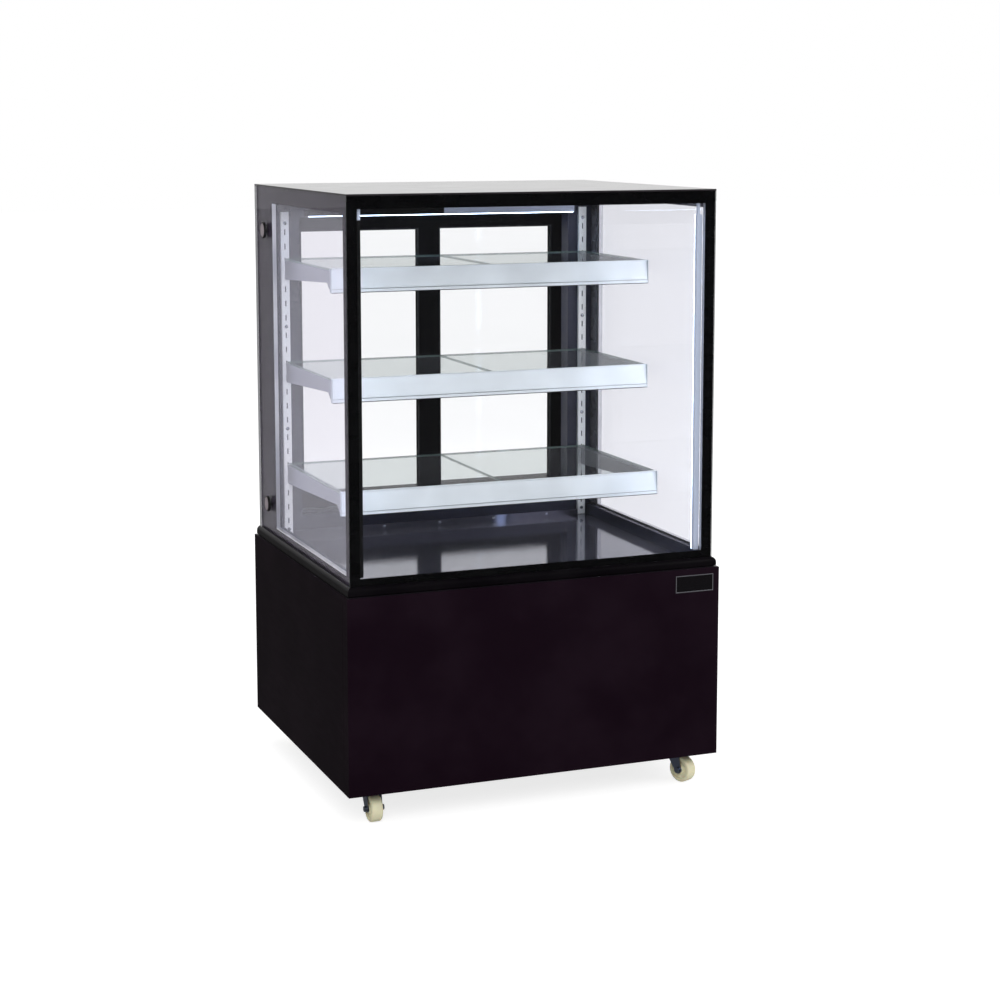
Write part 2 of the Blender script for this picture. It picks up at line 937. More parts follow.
    def pan_head(
        self, name: str, place: Vector, axis: Vector, radius: float, height: float
    ) -> bpy.types.Object:
        """A domed screw head with a cross recess.

        Args:
            name: Name of the piece.
            place: Middle of its seat.
            axis: Direction in which it stands.
            radius: Radius of the head.
            height: Height of the dome.

        Returns:
            The piece.
        """
        profile = [
            (radius, 0.0),
            (radius, height * 0.45),
            (radius * 0.92, height * 0.72),
            (radius * 0.74, height * 0.92),
            (radius * 0.45, height),
        ]
        up = Vector((0.0, 0.0, 1.0))
        head = self.turned(name, Vector(), up, profile, 24)
        arm = radius * 0.55
        slit = radius * 0.11
        floor = height * 0.35
        roof = height * 2
        wide = self.block("cutter", Vector((-arm, -slit, floor)), Vector((arm, slit, roof)))
        tall = self.block("cutter", Vector((-slit, -arm, floor)), Vector((slit, arm, roof)))
        head = self.cut(head, wide, tall)
        self.pick(head)
        return self.set_down(head, place, axis)

    def hexagon(
        self, name: str, place: Vector, axis: Vector, radius: float, height: float
    ) -> bpy.types.Object:
        """A hexagon bolt head or nut with a turned-down crown."""
        profile = [(radius, 0.0), (radius, height * 0.82), (radius * 0.84, height)]
        return self.turned(name, place, axis, profile, 6)


class SubAssembly:
    """A group of nodes that are dressed together, and the detail pieces that go with them."""

    carried: dict[Finish, tuple[str, ...]] = {}

    def dress(self, shop: FinishShop, nodes: dict[str, bpy.types.Object]) -> None:
        """Paint the group's own nodes."""
        for finish, names in self.carried.items():
            for name in names:
                shop.paint(nodes[name], finish)
                LOG.info("%s: %s", name, finish.name)

    def build(self, bench: Bench) -> None:
        """Model the group's detail pieces."""


@dataclass
class BaseCabinet(SubAssembly):
    """Sheet metal base, with the screws that hold its rear panel."""

    screw_radius: float = 0.0042
    screw_height: float = 0.0018
    screw_inset: float = 0.011
    screw_columns: int = 5
    carried = {
        Finish.BASE_PAINT: ("base_front_panel", "base_side_panels", "base_rear_panel"),
        Finish.FRAME_PAINT: ("base_frame",),
        Finish.BADGE: ("blank_badge",),
    }

    def build(self, bench: Bench) -> None:
        """Two rows of screws in the rear panel."""
        low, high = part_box("base_rear_panel")
        start = Vector((low.x + self.screw_inset, high.y, low.z + self.screw_inset))
        head = bench.pan_head(
            "rear_panel_screws", start, Vector((0, 1, 0)), self.screw_radius, self.screw_height
        )
        pitch = (high.x - low.x - 2 * self.screw_inset) / (self.screw_columns - 1)
        rise = high.z - low.z - 2 * self.screw_inset
        moves = [
            Vector((column * pitch, 0, row * rise))
            for column in range(self.screw_columns)
            for row in (0, 1)
        ]
        heads = bench.joined(bench.copies(head, moves[1:]), "rear_panel_screws")
        bench.fit(heads, Finish.SCREW)


@dataclass
class Glazing(SubAssembly):
    """Insulated glass, its printed borders, spacers, clamps, the moulding and the roof.

    The printed borders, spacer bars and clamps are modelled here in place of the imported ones:
    the front print reaches the very corners of the case, its spacer hides behind it, the side
    spacer shows above the print, and the clamps have separate faces.
    """

    outer_pane: float = 0.005
    inner_pane: float = 0.004
    unit_depth: float = 0.019
    print_gap: float = 0.0001
    print_depth: float = 0.0003
    window_bottom: float = 0.038
    front_window_side: float = 0.025
    front_window_top: float = 0.028
    side_window_front: float = 0.0375
    side_window_rear: float = 0.138
    side_window_top: float = 0.039
    bar: float = 0.009
    front_bar: float = 0.005
    bar_setback: float = 0.003
    bar_shown: float = 0.003
    clamp_radius: float = 0.0195
    clamp_depth: float = 0.0062
    face_radius: float = 0.0165
    face_depth: float = 0.0012
    pin_hole: float = 0.0016
    pin_spread: float = 0.0095
    bead: float = 0.0035
    carried = {
        Finish.SIDE_GLASS: ("side_glass",),
        Finish.FRONT_GLASS: ("front_glass",),
        Finish.TRIM: ("plinth_trim",),
        Finish.ROOF: ("roof_skin",),
    }

    def prints(self, bench: Bench) -> None:
        """Opaque borders on the inner face of each outer pane."""
        low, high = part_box("front_glass")
        y = low.y + self.outer_pane + self.print_gap
        front = bench.opened(
            "front_print",
            Vector((low.x, y, low.z)),
            Vector((high.x, y + self.print_depth, high.z)),
            Vector((low.x + self.front_window_side, y, low.z + self.window_bottom)),
            Vector((high.x - self.front_window_side, y, high.z - self.front_window_top)),
            Axis.Y,
        )
        bench.fit(front, Finish.PRINT)
        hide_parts("printed_borders")
        low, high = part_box("side_glass")
        sides = []
        for side in (-1, 1):
            outer = high.x - self.outer_pane - self.print_gap
            ends = sorted((side * outer, side * (outer - self.print_depth)))
            sides.append(
                bench.opened(
                    "side_print",
                    Vector((ends[0], low.y, low.z)),
                    Vector((ends[1], high.y, high.z)),
                    Vector((0, low.y + self.side_window_front, low.z + self.window_bottom)),
                    Vector((0, high.y - self.side_window_rear, high.z - self.side_window_top)),
                    Axis.X,
                )
            )
        bench.fit(bench.joined(sides, "side_prints"), Finish.SIDE_PRINT)

    def spacers(self, bench: Bench) -> None:
        """Bars that hold the panes apart."""
        low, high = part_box("front_glass")
        y = low.y + self.outer_pane + self.print_gap + self.print_depth
        inner_x = high.x - self.front_window_side
        bars = [
            bench.opened(
                "spacer",
                Vector((-inner_x - self.front_bar, y, low.z + self.bar_setback)),
                Vector(
                    (
                        inner_x + self.front_bar,
                        low.y + self.unit_depth - self.inner_pane,
                        high.z - self.bar_setback,
                    )
                ),
                Vector((-inner_x, y, low.z + self.bar_setback + self.bar)),
                Vector((inner_x, y, high.z - self.bar_setback - self.bar)),
                Axis.Y,
            )
        ]
        low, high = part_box("side_glass")
        for side in (-1, 1):
            far = high.x - self.outer_pane - self.print_gap - self.print_depth
            near = high.x - self.unit_depth + self.inner_pane
            ends = sorted((side * near, side * far))
            foot = low.z + self.window_bottom + self.bar_shown - self.bar
            start = Vector((ends[0], low.y + self.bar_setback, foot))
            end = Vector(
                (ends[1], high.y - self.side_window_rear + self.bar, high.z - self.bar_setback)
            )
            inset = Vector((0, self.bar, self.bar))
            bars.append(bench.opened("spacer", start, end, start + inset, end - inset, Axis.X))
        piece = bench.joined(bars, "spacer_bars")
        bench.fit(piece, Finish.SPACER)
        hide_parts("glazing_spacers")

    def clamp_face(self, bench: Bench, seat: Vector, out: Vector) -> bpy.types.Object:
        """One round clamp face with a sunk middle and two pin holes.

        Args:
            bench: Where it is made.
            seat: Middle of the face on its clamp.
            out: Direction away from the case.

        Returns:
            The piece.
        """
        up = Vector((0.0, 0.0, 1.0))
        edge = self.face_radius
        rise = self.face_depth
        profile = [
            (edge, 0.0),
            (edge, rise * 0.5),
            (edge * 0.95, rise),
            (edge * 0.74, rise),
            (edge * 0.71, rise * 0.7),
            (edge * 0.3, rise * 0.7),
        ]
        face = bench.turned("clamp_face", Vector(), up, profile, 48)
        holes = [(self.pin_hole, rise * 0.3), (self.pin_hole, rise * 3)]
        for way in (-1, 1):
            pin = bench.turned("pin", Vector((0, way * self.pin_spread, 0)), up, holes, 12)
            face = bench.cut(face, pin)
        bench.pick(face)
        return bench.set_down(face, seat, out)

    def clamps(self, bench: Bench) -> None:
        """Black clamp rings on the side glass, with their paler faces."""
        low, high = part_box("glass_clamps")
        glass_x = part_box("side_glass")[1].x
        y = (low.y + high.y) / 2
        radius = (high.y - low.y) / 2
        ring = self.clamp_radius
        depth = self.clamp_depth
        profile = [
            (ring, 0.0),
            (ring, depth * 0.8),
            (ring * 0.95, depth),
            (ring * 0.86, depth),
            (ring * 0.84, depth - self.face_depth),
            (ring * 0.3, depth - self.face_depth),
        ]
        rings, faces = [], []
        for side in (-1, 1):
            out = Vector((side, 0, 0))
            for z in (low.z + radius, high.z - radius):
                seat = Vector((side * glass_x, y, z))
                rings.append(bench.turned("clamp_ring", seat, out, profile, 48))
                faces.append(self.clamp_face(bench, seat + out * (depth - self.face_depth), out))
        piece = bench.joined(rings, "clamp_rings")
        bench.fit(piece, Finish.CLAMP)
        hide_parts("glass_clamps")
        bench.fit(bench.joined(faces, "clamp_faces"), Finish.CLAMP_FACE)

    def corner_beads(self, bench: Bench) -> None:
        """Three-cornered beads of sealant inside the two front corners."""
        ceiling_low, ceiling_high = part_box("ceiling_box")
        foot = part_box("deck_supports")[1].z
        beads = []
        for side in (-1, 1):
            inner = side * (ceiling_high.x - self.bead)
            ends = sorted((side * ceiling_high.x, inner))
            bead = bench.block(
                "corner_bead",
                Vector((ends[0], ceiling_low.y, foot)),
                Vector((ends[1], ceiling_low.y + self.bead, ceiling_low.z)),
            )
            beads.append(
                bench.sliced(bead, Vector((inner, ceiling_low.y, 0)), Vector((-side, 1, 0)))
            )
        bench.fit(bench.joined(beads, "corner_beads"), Finish.RUBBER)

    def build(self, bench: Bench) -> None:
        """Prints, spacers, clamps and sealant."""
        self.prints(bench)
        self.spacers(bench)
        self.clamps(bench)
        self.corner_beads(bench)


@dataclass
class Lining(SubAssembly):
    """Everything fixed inside the glass: deck, duct, rear frame, uprights and screws."""

    head_radius: float = 0.0045
    head_height: float = 0.0020
    upright_margin: float = 0.027
    screw_pitch: float = 0.250
    screw_rows: int = 4
    deck_screws: int = 5
    deck_margin: float = 0.0879
    flange_height: float = 0.015
    flange_clearance: float = 0.001
    upright_width: float = 0.020
    plain_head: float = 0.0018
    carried = {
        Finish.LINING: ("ceiling_box", "rear_frame", "air_duct_cover", "deck_supports"),
        Finish.DECK: ("deck_plate",),
        Finish.UPRIGHT: ("shelf_uprights",),
    }

    def places(self) -> list[Vector]:
        """Seats of all the lining screws, upright by upright and then along the deck."""
        low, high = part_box("shelf_uprights")
        centre = high.x - self.upright_width / 2
        found = [
            Vector((side * centre, low.y, high.z - self.upright_margin - row * self.screw_pitch))
            for side in (-1, 1)
            for row in range(self.screw_rows)
        ]
        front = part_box("lining_screws")[0].y
        deck_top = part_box("deck_plate")[1].z
        flange = centre - self.upright_width / 2 - self.flange_clearance
        pitch = 2 * (flange - self.deck_margin) / (self.deck_screws - 1)
        seat = Vector((0.0, front + self.plain_head, deck_top - self.flange_height / 2))
        for index in range(self.deck_screws):
            x = self.deck_margin - flange + index * pitch
            found.append(Vector((x, seat.y, seat.z)))
        return found

    def build(self, bench: Bench) -> None:
        """Cross-recess screws instead of the plain heads."""
        places = self.places()
        head = bench.pan_head(
            "lining_screw_heads", places[0], Vector((0, -1, 0)), self.head_radius, self.head_height
        )
        heads = bench.copies(head, [place - places[0] for place in places[1:]])
        screws = bench.fit(
            bench.joined(heads, "lining_screw_heads"), Finish.SCREW
        )
        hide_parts("lining_screws")


@dataclass
class SlidingDoors(SubAssembly):
    """The two doors and their tracks, with glass gaskets and a meeting brush."""

    gasket_width: float = 0.0035
    gasket_depth: float = 0.0016
    brush_depth: float = 0.0045
    brush_width: float = 0.006
    brush_inset: float = 0.02
    brush_round: float = 0.0008
    carried = {
        Finish.DOOR_FRAME: ("left_door_frame", "right_door_frame"),
        Finish.DOOR_GLASS: ("left_door_glass", "right_door_glass"),
        Finish.TRACK: ("door_tracks",),
    }

    def gaskets(self, bench: Bench, body: str) -> None:
        """Rubber round the panes, on both faces of a door."""
        low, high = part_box(body + "_glass")
        sides = []
        for y, way in ((low.y, -1), (high.y, 1)):
            start = Vector((low.x, y, low.z))
            sides.append(
                bench.rim("gasket", start, high, self.gasket_width, way * self.gasket_depth)
            )
        piece = bench.joined(sides, body + "_gaskets")
        bench.fit(piece, Finish.RUBBER, body)

    def build(self, bench: Bench) -> None:
        """Gaskets on both doors and the brush between them."""
        for body in ("left_door", "right_door"):
            self.gaskets(bench, body)
        low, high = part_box("right_door_frame")
        left = low.x + self.brush_width
        brush = bench.block(
            "meeting_brush",
            Vector((left, low.y - self.brush_depth, low.z + self.brush_inset)),
            Vector((left + self.brush_width, low.y, high.z - self.brush_inset)),
            self.brush_round,
        )
        bench.fit(brush, Finish.RUBBER, "right_door")


@dataclass
class Shelves(SubAssembly):
    """Glass shelves, brackets and front strips, with caps, beads, lips and grooves on these."""

    cap: float = 0.0014
    cap_round: float = 0.0006
    bead_radius: float = 0.0011
    bead_setback: float = 0.003
    lip: float = 0.0016
    lip_round: float = 0.0003
    groove: float = 0.0008
    groove_round: float = 0.0001
    groove_rise: float = 0.0075
    carried = {
        Finish.SHELF_GLASS: ("upper_shelf_glass", "middle_shelf_glass", "lower_shelf_glass"),
        Finish.STRIP: ("upper_shelf_strip", "middle_shelf_strip", "lower_shelf_strip"),
        Finish.BRACKET: ("shelf_brackets",),
    }

    def build(self, bench: Bench) -> None:
        """For each strip its end caps, top bead, dark lower lip and the groove line above it."""
        for shelf in ("upper_shelf", "middle_shelf", "lower_shelf"):
            low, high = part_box(shelf + "_strip")
            caps = []
            for side in (-1, 1):
                ends = sorted((side * high.x, side * (high.x + self.cap)))
                caps.append(
                    bench.block(
                        "cap",
                        Vector((ends[0], low.y, low.z)),
                        Vector((ends[1], high.y, high.z)),
                        self.cap_round,
                    )
                )
            piece = bench.joined(caps, shelf + "_strip_caps")
            bench.fit(piece, Finish.STRIP_CAP)
            profile = [(self.bead_radius, 0.0), (self.bead_radius, high.x - low.x)]
            bead_y = high.y - self.bead_setback - self.bead_radius
            seat = Vector((low.x, bead_y, high.z - self.bead_radius))
            bead = bench.turned(shelf + "_strip_bead", seat, Vector((1, 0, 0)), profile, 12)
            bench.fit(bead, Finish.STRIP)
            lip = bench.block(
                shelf + "_strip_lip",
                Vector((low.x, low.y - self.lip / 2, low.z - self.lip / 2)),
                Vector((high.x, low.y + self.lip, low.z + self.lip / 2)),
                self.lip_round,
            )
            bench.fit(lip, Finish.CONTROL)
            height = low.z + self.groove_rise
            groove = bench.block(
                shelf + "_strip_groove",
                Vector((low.x, low.y - self.groove / 4, height)),
                Vector((high.x, low.y + self.groove, height + self.groove)),
                self.groove_round,
            )
            bench.fit(groove, Finish.TRACK)


@dataclass
class Lamps(SubAssembly):
    """Lamp housings with opal covers, and end plugs for the one under the ceiling."""

    plug: float = 0.004
    plug_round: float = 0.0012
    end_gap: float = 0.010
    drop: float = 0.028
    height: float = 0.018
    width: float = 0.024
    carried = {
        Finish.LAMP_BODY: ("lamp_bodies",),
        Finish.LAMP_LENS: ("lamp_lenses",),
    }

    def build(self, bench: Bench) -> None:
        """End plugs of the lamp under the ceiling."""
        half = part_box("air_duct_cover")[1].x - self.end_gap
        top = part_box("ceiling_box")[0].z - self.drop
        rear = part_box("lamp_lenses")[1].y
        plugs = []
        for side in (-1, 1):
            ends = sorted((side * half, side * (half + self.plug)))
            low = Vector((ends[0], rear - self.width, top - self.height))
            plugs.append(bench.block("plug", low, Vector((ends[1], rear, top)), self.plug_round))
        plugs = bench.joined(plugs, "lamp_end_plugs")
        bench.fit(plugs, Finish.LAMP_BODY)


CASTOR_NAMES = ("front_left", "front_right", "rear_left", "rear_right")


@dataclass
class Castors(SubAssembly):
    """Plates, forks and wheels, with mounting bolts and bearing caps."""

    bolt_radius: float = 0.0048
    bolt_height: float = 0.0035
    bolt_inset: float = 0.0075
    plate_width: float = 0.060
    plate_thickness: float = 0.003
    cap_radius: float = 0.0085
    cap_height: float = 0.0010
    wheel_width: float = 0.027
    carried = {
        Finish.CASTOR_ZINC: (
            "castor_plates",
            *("castor_fork_" + name for name in CASTOR_NAMES),
        ),
        Finish.NYLON: tuple("castor_wheel_" + name for name in CASTOR_NAMES),
    }

    def build(self, bench: Bench) -> None:
        """Four bolts to each plate and a cap on each side of each wheel."""
        plate_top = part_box("castor_plates")[1].z
        bolts = []
        for name in CASTOR_NAMES:
            swivel = Joints.place("castor_swivel_" + name)
            axle = Joints.place("castor_spin_" + name)
            ahead = (axle - swivel) * Vector((1, 1, 0))
            ahead.normalize()
            aside = Vector((-ahead.y, ahead.x, 0.0))
            reach = self.plate_width / 2 - self.bolt_inset
            for way in (-1, 1):
                for end in (-1, 1):
                    seat = swivel + (ahead * way + aside * end) * reach
                    seat.z = plate_top - self.plate_thickness
                    bolts.append(
                        bench.hexagon(
                            "bolt", seat, Vector((0, 0, -1)), self.bolt_radius, self.bolt_height
                        )
                    )
            caps = []
            for way in (-1, 1):
                seat = axle + aside * (way * self.wheel_width / 2)
                caps.append(self.bearing_cap(bench, seat, aside * way))
            piece = bench.joined(caps, "bearing_caps_" + name)
            bench.fit(piece, Finish.CASTOR_ZINC, "castor_wheel_" + name)
        bench.fit(bench.joined(bolts, "castor_bolts"), Finish.SCREW)

    def bearing_cap(self, bench: Bench, seat: Vector, axis: Vector) -> bpy.types.Object:
        """A thin pressed cap with a raised middle."""
        profile = [
            (self.cap_radius, 0.0),
            (self.cap_radius * 0.94, self.cap_height * 0.5),
            (self.cap_radius * 0.72, self.cap_height * 0.55),
            (self.cap_radius * 0.66, self.cap_height),
        ]
        return bench.turned("cap", seat, axis, profile, 32)


class Joints:
    """Places of the record's joints."""

    found: dict[str, Vector] = {}

    @classmethod
    def read(cls, joints: Sequence[dict]) -> None:
        """Keep where each hinge's axis passes."""
        cls.found = {
            joint["name"]: Vector(joint["pos_m"]) for joint in joints if joint.get("pos_m")
        }

    @classmethod
    def place(cls, name: str) -> Vector:
        """A point on a joint's axis."""
        return cls.found[name].copy()


@dataclass
class Refrigeration(SubAssembly):
    """Cooling tub and condensing unit, with the fittings that the machinery carries."""

    guard_wire: float = 0.001
    guard_gap: float = 0.0185
    guard_rings: tuple[float, ...] = (0.052, 0.071, 0.090, 0.108)
    guard_arms: int = 4
    cover_size: tuple[float, float, float] = (0.052, 0.024, 0.060)
    cover_height: float = 0.062
    cover_round: float = 0.004
    drier_radius: float = 0.013
    drier_foot: float = 0.049
    drier_length: float = 0.090
    collar_radius: float = 0.01196
    nut_radius: float = 0.0085
    nut_height: float = 0.011
    collar: float = 0.0018
    stub_radius: float = 0.003
    stub_height: float = 0.026
    carried = {
        Finish.FOAM_SKIN: ("insulated_tub",),
        Finish.FINS: ("evaporator_coil", "condenser_coil"),
        Finish.GALVANISED: ("unit_base", "condenser_shroud", "drain_pan"),
        Finish.COMPRESSOR: ("compressor", "condenser_fan_motor"),
        Finish.FAN_BLACK: (
            "condenser_fan_rotor",
            "evaporator_fan_rotor_left",
            "evaporator_fan_rotor_right",
            "evaporator_fan_housings",
        ),
        Finish.COPPER: ("refrigerant_pipes",),
    }

    def guard(self, bench: Bench) -> None:
        """Wire guard ahead of the condenser fan."""
        low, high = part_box("condenser_shroud")
        middle = Vector(((low.x + high.x) / 2, low.y - self.guard_gap, (low.z + high.z) / 2))
        front = Vector((0, -1, 0))
        wires = [
            bench.ring("ring", middle, front, radius, self.guard_wire, 48, 6)
            for radius in self.guard_rings
        ]
        inner, outer = self.guard_rings[0], self.guard_rings[-1]
        for index in range(self.guard_arms):
            angle = math.pi / 4 + index * 2 * math.pi / self.guard_arms
            out = Vector((math.cos(angle), 0.0, math.sin(angle)))
            spoke = [(self.guard_wire, 0.0), (self.guard_wire, outer - inner)]
            leg = [(self.guard_wire, 0.0), (self.guard_wire, self.guard_gap)]
            seat = middle + out * inner
            wires.append(bench.turned("spoke", seat, out, spoke, 6))
            seat = middle + out * outer
            wires.append(bench.turned("leg", seat, Vector((0, 1, 0)), leg, 6))
        piece = bench.joined(wires, "condenser_fan_guard")
        bench.fit(piece, Finish.GALVANISED)

    def compressor_fittings(self, bench: Bench) -> None:
        """Terminal cover on the side of the shell and the process stub on its dome."""
        low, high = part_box("compressor")
        middle = (low + high) / 2
        width, depth, height = self.cover_size
        cover_low = Vector((middle.x - width / 2, low.y - depth / 2, low.z + self.cover_height))
        cover = bench.block(
            "terminal_cover",
            cover_low,
            cover_low + Vector((width, depth, height)),
            self.cover_round,
            3,
        )
        bench.fit(cover, Finish.CONTROL)
        seat = Vector((middle.x, middle.y - self.cover_height / 2, high.z))
        profile = [
            (self.stub_radius, 0.0),
            (self.stub_radius, self.stub_height * 0.8),
            (self.stub_radius * 0.5, self.stub_height * 0.86),
            (self.stub_radius * 0.45, self.stub_height),
        ]
        stub = bench.turned("process_stub", seat, Vector((0, 0, 1)), profile, 12)
        bench.fit(stub, Finish.COPPER)

    def pipe_fittings(self, bench: Bench) -> None:
        """Flare nut over the drier and brazed collars at its ends."""
        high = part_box("refrigerant_pipes")[1]
        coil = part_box("condenser_coil")
        x = high.x - self.drier_radius
        y = (coil[0].y + coil[1].y) / 2
        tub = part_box("insulated_tub")[0].z
        low_end = coil[0].z + self.drier_foot
        top_end = low_end + self.drier_length
        up = Vector((0, 0, 1))
        pieces = [
            bench.ring("collar", Vector((x, y, z)), up, self.collar_radius, self.collar, 32, 8)
            for z in (low_end, top_end)
        ]
        collars = bench.joined(pieces, "drier_collars")
        bench.fit(collars, Finish.BRASS)
        seat = Vector((x, y, tub - self.nut_height))
        nut = bench.hexagon("tub_flare_nut", seat, up, self.nut_radius, self.nut_height)
        bench.fit(nut, Finish.BRASS)

    def build(self, bench: Bench) -> None:
        """Fan guard, compressor fittings and pipe fittings."""
        self.guard(bench)
        self.compressor_fittings(bench)
        self.pipe_fittings(bench)


SEGMENTS = {
    "top": (0.0, 1.0, True),
    "upper_left": (-0.5, 0.5, False),
    "upper_right": (0.5, 0.5, False),
    "middle": (0.0, 0.0, True),
    "lower_left": (-0.5, -0.5, False),
    "lower_right": (0.5, -0.5, False),
    "bottom": (0.0, -1.0, True),
}
FOUR = ("upper_left", "upper_right", "middle", "lower_right")
ZERO = ("top", "upper_left", "upper_right", "lower_left", "lower_right", "bottom")


@dataclass
class Controls(SubAssembly):
    """Control tray, temperature controller, rocker switches and mains inlet."""

    window: tuple[float, float] = (0.040, 0.018)
    window_aside: float = 0.012
    window_depth: float = 0.0008
    digit_width: float = 0.006
    digit_height: float = 0.011
    digit_gap: float = 0.0045
    bar: float = 0.0012
    bar_depth: float = 0.0003
    key_size: float = 0.006
    key_pitch: float = 0.0078
    key_aside: float = 0.0255
    window_round: float = 0.0004
    bar_share: float = 0.45
    fine_round: float = 0.0001
    key_count: int = 4
    key_height: float = 0.0009
    key_narrowing: float = 2.6
    key_round: float = 0.0005
    tray_wall: float = 0.012
    tray_screw_inset: float = 0.011
    tray_screw_radius: float = 0.0038
    tray_screw_height: float = 0.0018
    mark_depth: float = 0.0004
    mark_width: float = 0.0005
    mark_height: float = 0.0026
    mark_tilt: float = 15.0
    mark_ahead: float = 0.0066
    mark_above: float = 0.0062
    carried = {
        Finish.CONTROL: ("control_tray", "mains_inlet", "temperature_controller"),
        Finish.ROCKER_GREEN: ("power_switch_rocker",),
        Finish.ROCKER_AMBER: ("light_switch_rocker",),
    }

    def digit(
        self, bench: Bench, lit: Sequence[str], middle: Vector
    ) -> list[bpy.types.Object]:
        """Lit bars of one digit.

        Args:
            bench: Where they are made.
            lit: Names of the lit segments.
            middle: Middle of the digit, on the window.

        Returns:
            The bars.
        """
        bars = []
        for name in lit:
            aside, up, flat = SEGMENTS[name]
            # Seen from the rear, the viewer's right is towards -X.
            centre = middle - Vector((aside * self.digit_width, 0, -up * self.digit_height / 2))
            long = self.digit_width if flat else self.digit_height / 2
            half = Vector((long, 0, self.bar)) if flat else Vector((self.bar, 0, long))
            half = half * self.bar_share
            far = centre + half + Vector((0, self.bar_depth, 0))
            bars.append(bench.block("bar", centre - half, far, self.fine_round, 1))
        return bars

    def face(self, bench: Bench) -> None:
        """Window with two digits, and the column of four keys."""
        low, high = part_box("temperature_controller")
        middle = (low + high) / 2
        width, height = self.window
        centre = Vector((middle.x + self.window_aside, high.y, middle.z))
        half = Vector((width / 2, 0, height / 2))
        window = bench.block(
            "display_window",
            centre - half,
            centre + half + Vector((0, self.window_depth, 0)),
            self.window_round,
        )
        bench.fit(window, Finish.DISPLAY)
        front = centre + Vector((0, self.window_depth, 0))
        step = Vector(((self.digit_width + self.digit_gap) / 2, 0, 0))
        bars = self.digit(bench, FOUR, front + step) + self.digit(bench, ZERO, front - step)
        bench.fit(bench.joined(bars, "display_digits"), Finish.DIGIT)
        keys = []
        for index in range(self.key_count):
            rise = (index - (self.key_count - 1) / 2) * self.key_pitch
            key = Vector((middle.x - self.key_aside, high.y, middle.z + rise))
            size = Vector((self.key_size / 2, 0, self.key_size / self.key_narrowing))
            far = key + size + Vector((0, self.key_height, 0))
            keys.append(bench.block("key", key - size, far, self.key_round))
        bench.fit(bench.joined(keys, "controller_keys"), Finish.STRIP_CAP)

    def build(self, bench: Bench) -> None:
        """Controller face, rocker marks, and the screws at the two ends of the tray."""
        self.face(bench)
        low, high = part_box("control_tray")
        inset = self.tray_screw_inset
        seat = Vector((low.x + inset, high.y - self.tray_wall, (low.z + high.z) / 2))
        size = (self.tray_screw_radius, self.tray_screw_height)
        head = bench.pan_head("tray_screws", seat, Vector((0, 1, 0)), *size)
        across = Vector((high.x - low.x - 2 * inset, 0, 0))
        heads = bench.joined(bench.copies(head, [across]), "tray_screws")
        bench.fit(heads, Finish.SCREW)
        self.marks(bench)

    def marks(self, bench: Bench) -> None:
        """The line moulded on each rocker, for on."""
        half = Vector((self.mark_width, self.mark_depth, self.mark_height))
        for name in ("power", "light"):
            hinge = Joints.place(name + "_switch_rock")
            face = hinge + Vector((0, self.mark_ahead, self.mark_above))
            line = bench.block(name + "_rocker_mark", -half, half, self.fine_round, 1)
            line.data.transform(Matrix.Rotation(math.radians(self.mark_tilt), 4, "X"))
            line.data.transform(Matrix.Translation(face))
            bench.fit(line, Finish.MARK, name + "_rocker")


@dataclass(frozen=True)
class StudioLamp:
    """A soft square lamp that points at the middle of the case."""

    name: str
    place: tuple[float, float, float]
    size: float
    watts: float
    target: tuple[float, float, float] = (0.0, 0.0, 0.8)

    def build(self) -> None:
        """Hang the lamp."""
        data = bpy.data.lights.new(self.name, "AREA")
        data.size = self.size
        data.energy = self.watts
        lamp = bpy.data.objects.new(self.name, data)
        lamp.location = self.place
        aim = Vector(self.target) - Vector(self.place)
        lamp.rotation_euler = aim.to_track_quat("-Z", "Y").to_euler()
        bpy.context.scene.collection.objects.link(lamp)


STUDIO_LAMPS = (
    StudioLamp("key", (-1.6, -4.4, 3.4), 2.6, 95.0),
    StudioLamp("fill", (3.4, -2.6, 2.2), 2.4, 45.0),
    StudioLamp("back", (0.6, 3.2, 4.4), 2.6, 70.0),
)


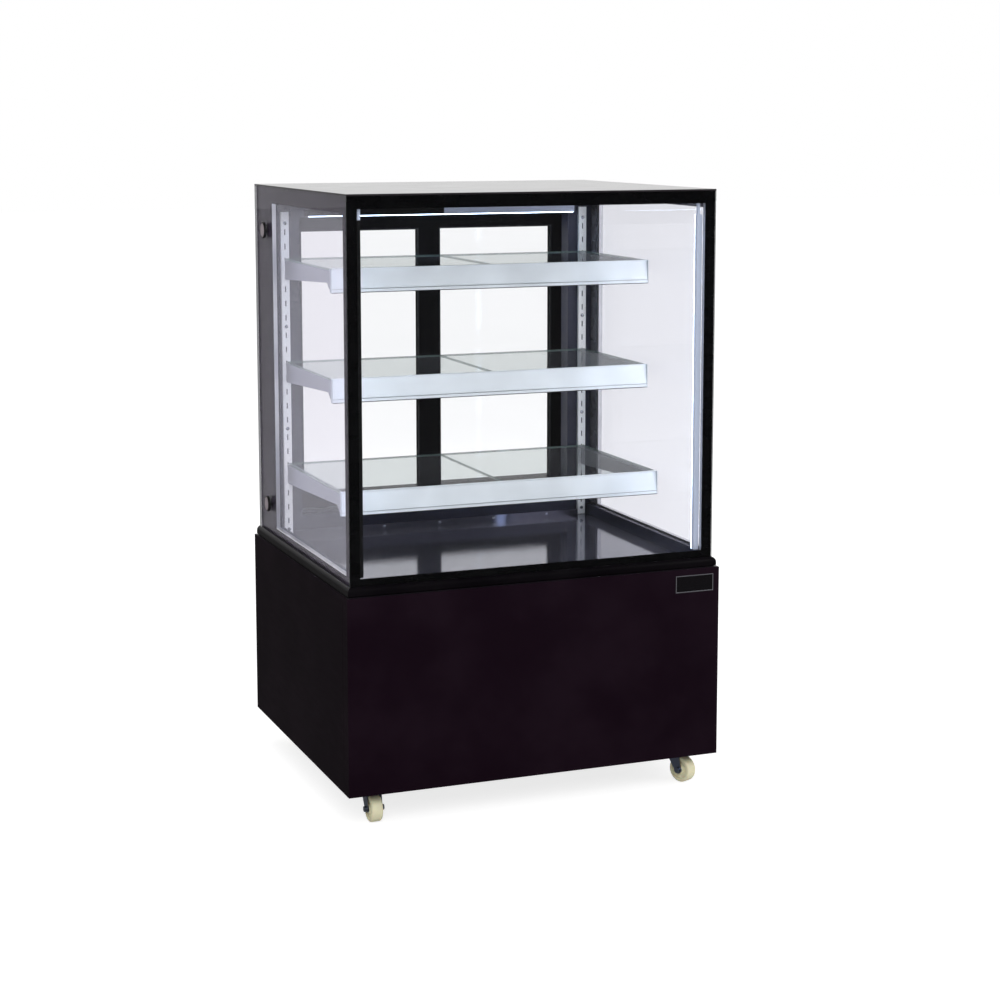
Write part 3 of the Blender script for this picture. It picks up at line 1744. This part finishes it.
@dataclass
class Studio:
    """Pale floor, white surround, soft lamps and the camera."""

    floor_size: float = 60.0
    floor_level: float = -0.0005
    camera_place: tuple[float, float, float] = (-1.7521, -4.5816, 1.5514)
    camera_turn: float = 0.3761
    camera_tip: float = -0.1354
    camera_roll: float = 0.0005
    camera_lens: float = 74.783
    camera_sensor: float = 36.0
    camera_lift: float = -0.100
    ambient: float = 0.8
    front_reflection: float = 0.12
    back_reflection: float = 1.0
    floor_reflection: float = 0.15
    floor_share: float = 0.5
    floor_glow: float = 0.78

    def floor(self) -> None:
        """A large pale floor that looks white to the camera but keeps the shadow."""
        bpy.ops.mesh.primitive_plane_add(size=self.floor_size, location=(0, 0, self.floor_level))
        floor = bpy.context.object
        floor.name = "studio_floor"
        s = Shader("studio_floor")
        shadow = s.surface(Base_Color=(0.82, 0.82, 0.82), Roughness=0.9)
        white = s.node(
            "ShaderNodeEmission",
            inputs={"Color": (1.0, 1.0, 1.0), "Strength": self.floor_glow / self.floor_share},
        )
        rays = s.node("ShaderNodeLightPath")
        seen = Maths(s, rays.outputs["Is Camera Ray"]).largest(rays.outputs["Is Transmission Ray"])
        mixed = s.node(
            "ShaderNodeMixShader",
            inputs={0: seen * self.floor_share, 1: shadow.outputs[0], 2: white.outputs[0]},
        )
        # Gloss meets a dim floor, so that black panels stay as dark as in the photograph.
        dim = s.node(
            "ShaderNodeEmission",
            inputs={"Color": (1.0, 1.0, 1.0), "Strength": self.floor_reflection},
        )
        mirrored = Maths(s, rays.outputs["Is Glossy Ray"]) * (1.0 - seen)
        whole = s.node(
            "ShaderNodeMixShader", inputs={0: mirrored, 1: mixed.outputs[0], 2: dim.outputs[0]}
        )
        floor.data.materials.append(s.finish(whole))

    def surround(self) -> None:
        """White surround: plain to the eye, softer as a light and dim ahead of gloss surfaces."""
        world = bpy.data.worlds.new("studio")
        bpy.context.scene.world = world
        world.use_nodes = True
        s = Shader.of_tree(world.node_tree, "ShaderNodeOutputWorld")
        rays = s.node("ShaderNodeLightPath")
        way = s.node("ShaderNodeTexCoord").outputs["Generated"]
        split = s.node("ShaderNodeSeparateXYZ", inputs={0: way})
        behind = Maths(s, split.outputs[Axis.Y.value]).steps(-0.15, 0.35)
        not_left = Maths(s, split.outputs[Axis.X.value]).steps(-0.5, 0.05)
        spread = self.back_reflection - self.front_reflection
        mirrored = behind * not_left * spread + self.front_reflection
        in_gloss = Maths(s, rays.outputs["Is Glossy Ray"])
        in_view = Maths(s, rays.outputs["Is Camera Ray"]).largest(
            rays.outputs["Is Transmission Ray"]
        )
        plain = (1.0 - in_gloss) * self.ambient + in_gloss * mirrored
        strength = (1.0 - in_view) * plain + in_view
        s.finish(
            s.node(
                "ShaderNodeBackground",
                inputs={"Color": (1.0, 1.0, 1.0), "Strength": strength},
            )
        )

    def camera(self) -> None:
        """Camera at the viewing angle of the photograph."""
        data = bpy.data.cameras.new("camera")
        data.lens = self.camera_lens
        data.sensor_width = self.camera_sensor
        data.shift_y = self.camera_lift
        camera = bpy.data.objects.new("camera", data)
        camera.location = self.camera_place
        turn = Matrix.Rotation(-self.camera_turn, 4, "Z")
        tip = Matrix.Rotation(math.pi / 2 + self.camera_tip, 4, "X")
        roll = Matrix.Rotation(-self.camera_roll, 4, "Z")
        camera.rotation_euler = (turn @ tip @ roll).to_euler()
        bpy.context.scene.collection.objects.link(camera)
        bpy.context.scene.camera = camera

    def build(self) -> None:
        """Set up the whole studio."""
        self.floor()
        self.surround()
        for lamp in STUDIO_LAMPS:
            lamp.build()
        bpy.context.scene.view_settings.view_transform = "Standard"
        self.camera()


SUB_ASSEMBLIES: tuple[type[SubAssembly], ...] = (
    BaseCabinet,
    Glazing,
    Lining,
    SlidingDoors,
    Shelves,
    Lamps,
    Castors,
    Refrigeration,
    Controls,
)


def main() -> None:
    """Load the frame, dress the case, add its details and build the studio."""
    logging.basicConfig(level=logging.INFO, format="%(name)s: %(message)s")
    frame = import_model()
    Joints.read(frame["joints"])
    shop = FinishShop()
    bench = Bench(shop)
    for kind in SUB_ASSEMBLIES:
        part = kind()
        part.dress(shop, frame["nodes"])
        part.build(bench)
    Studio().build()


if __name__ == "__main__":
    main()
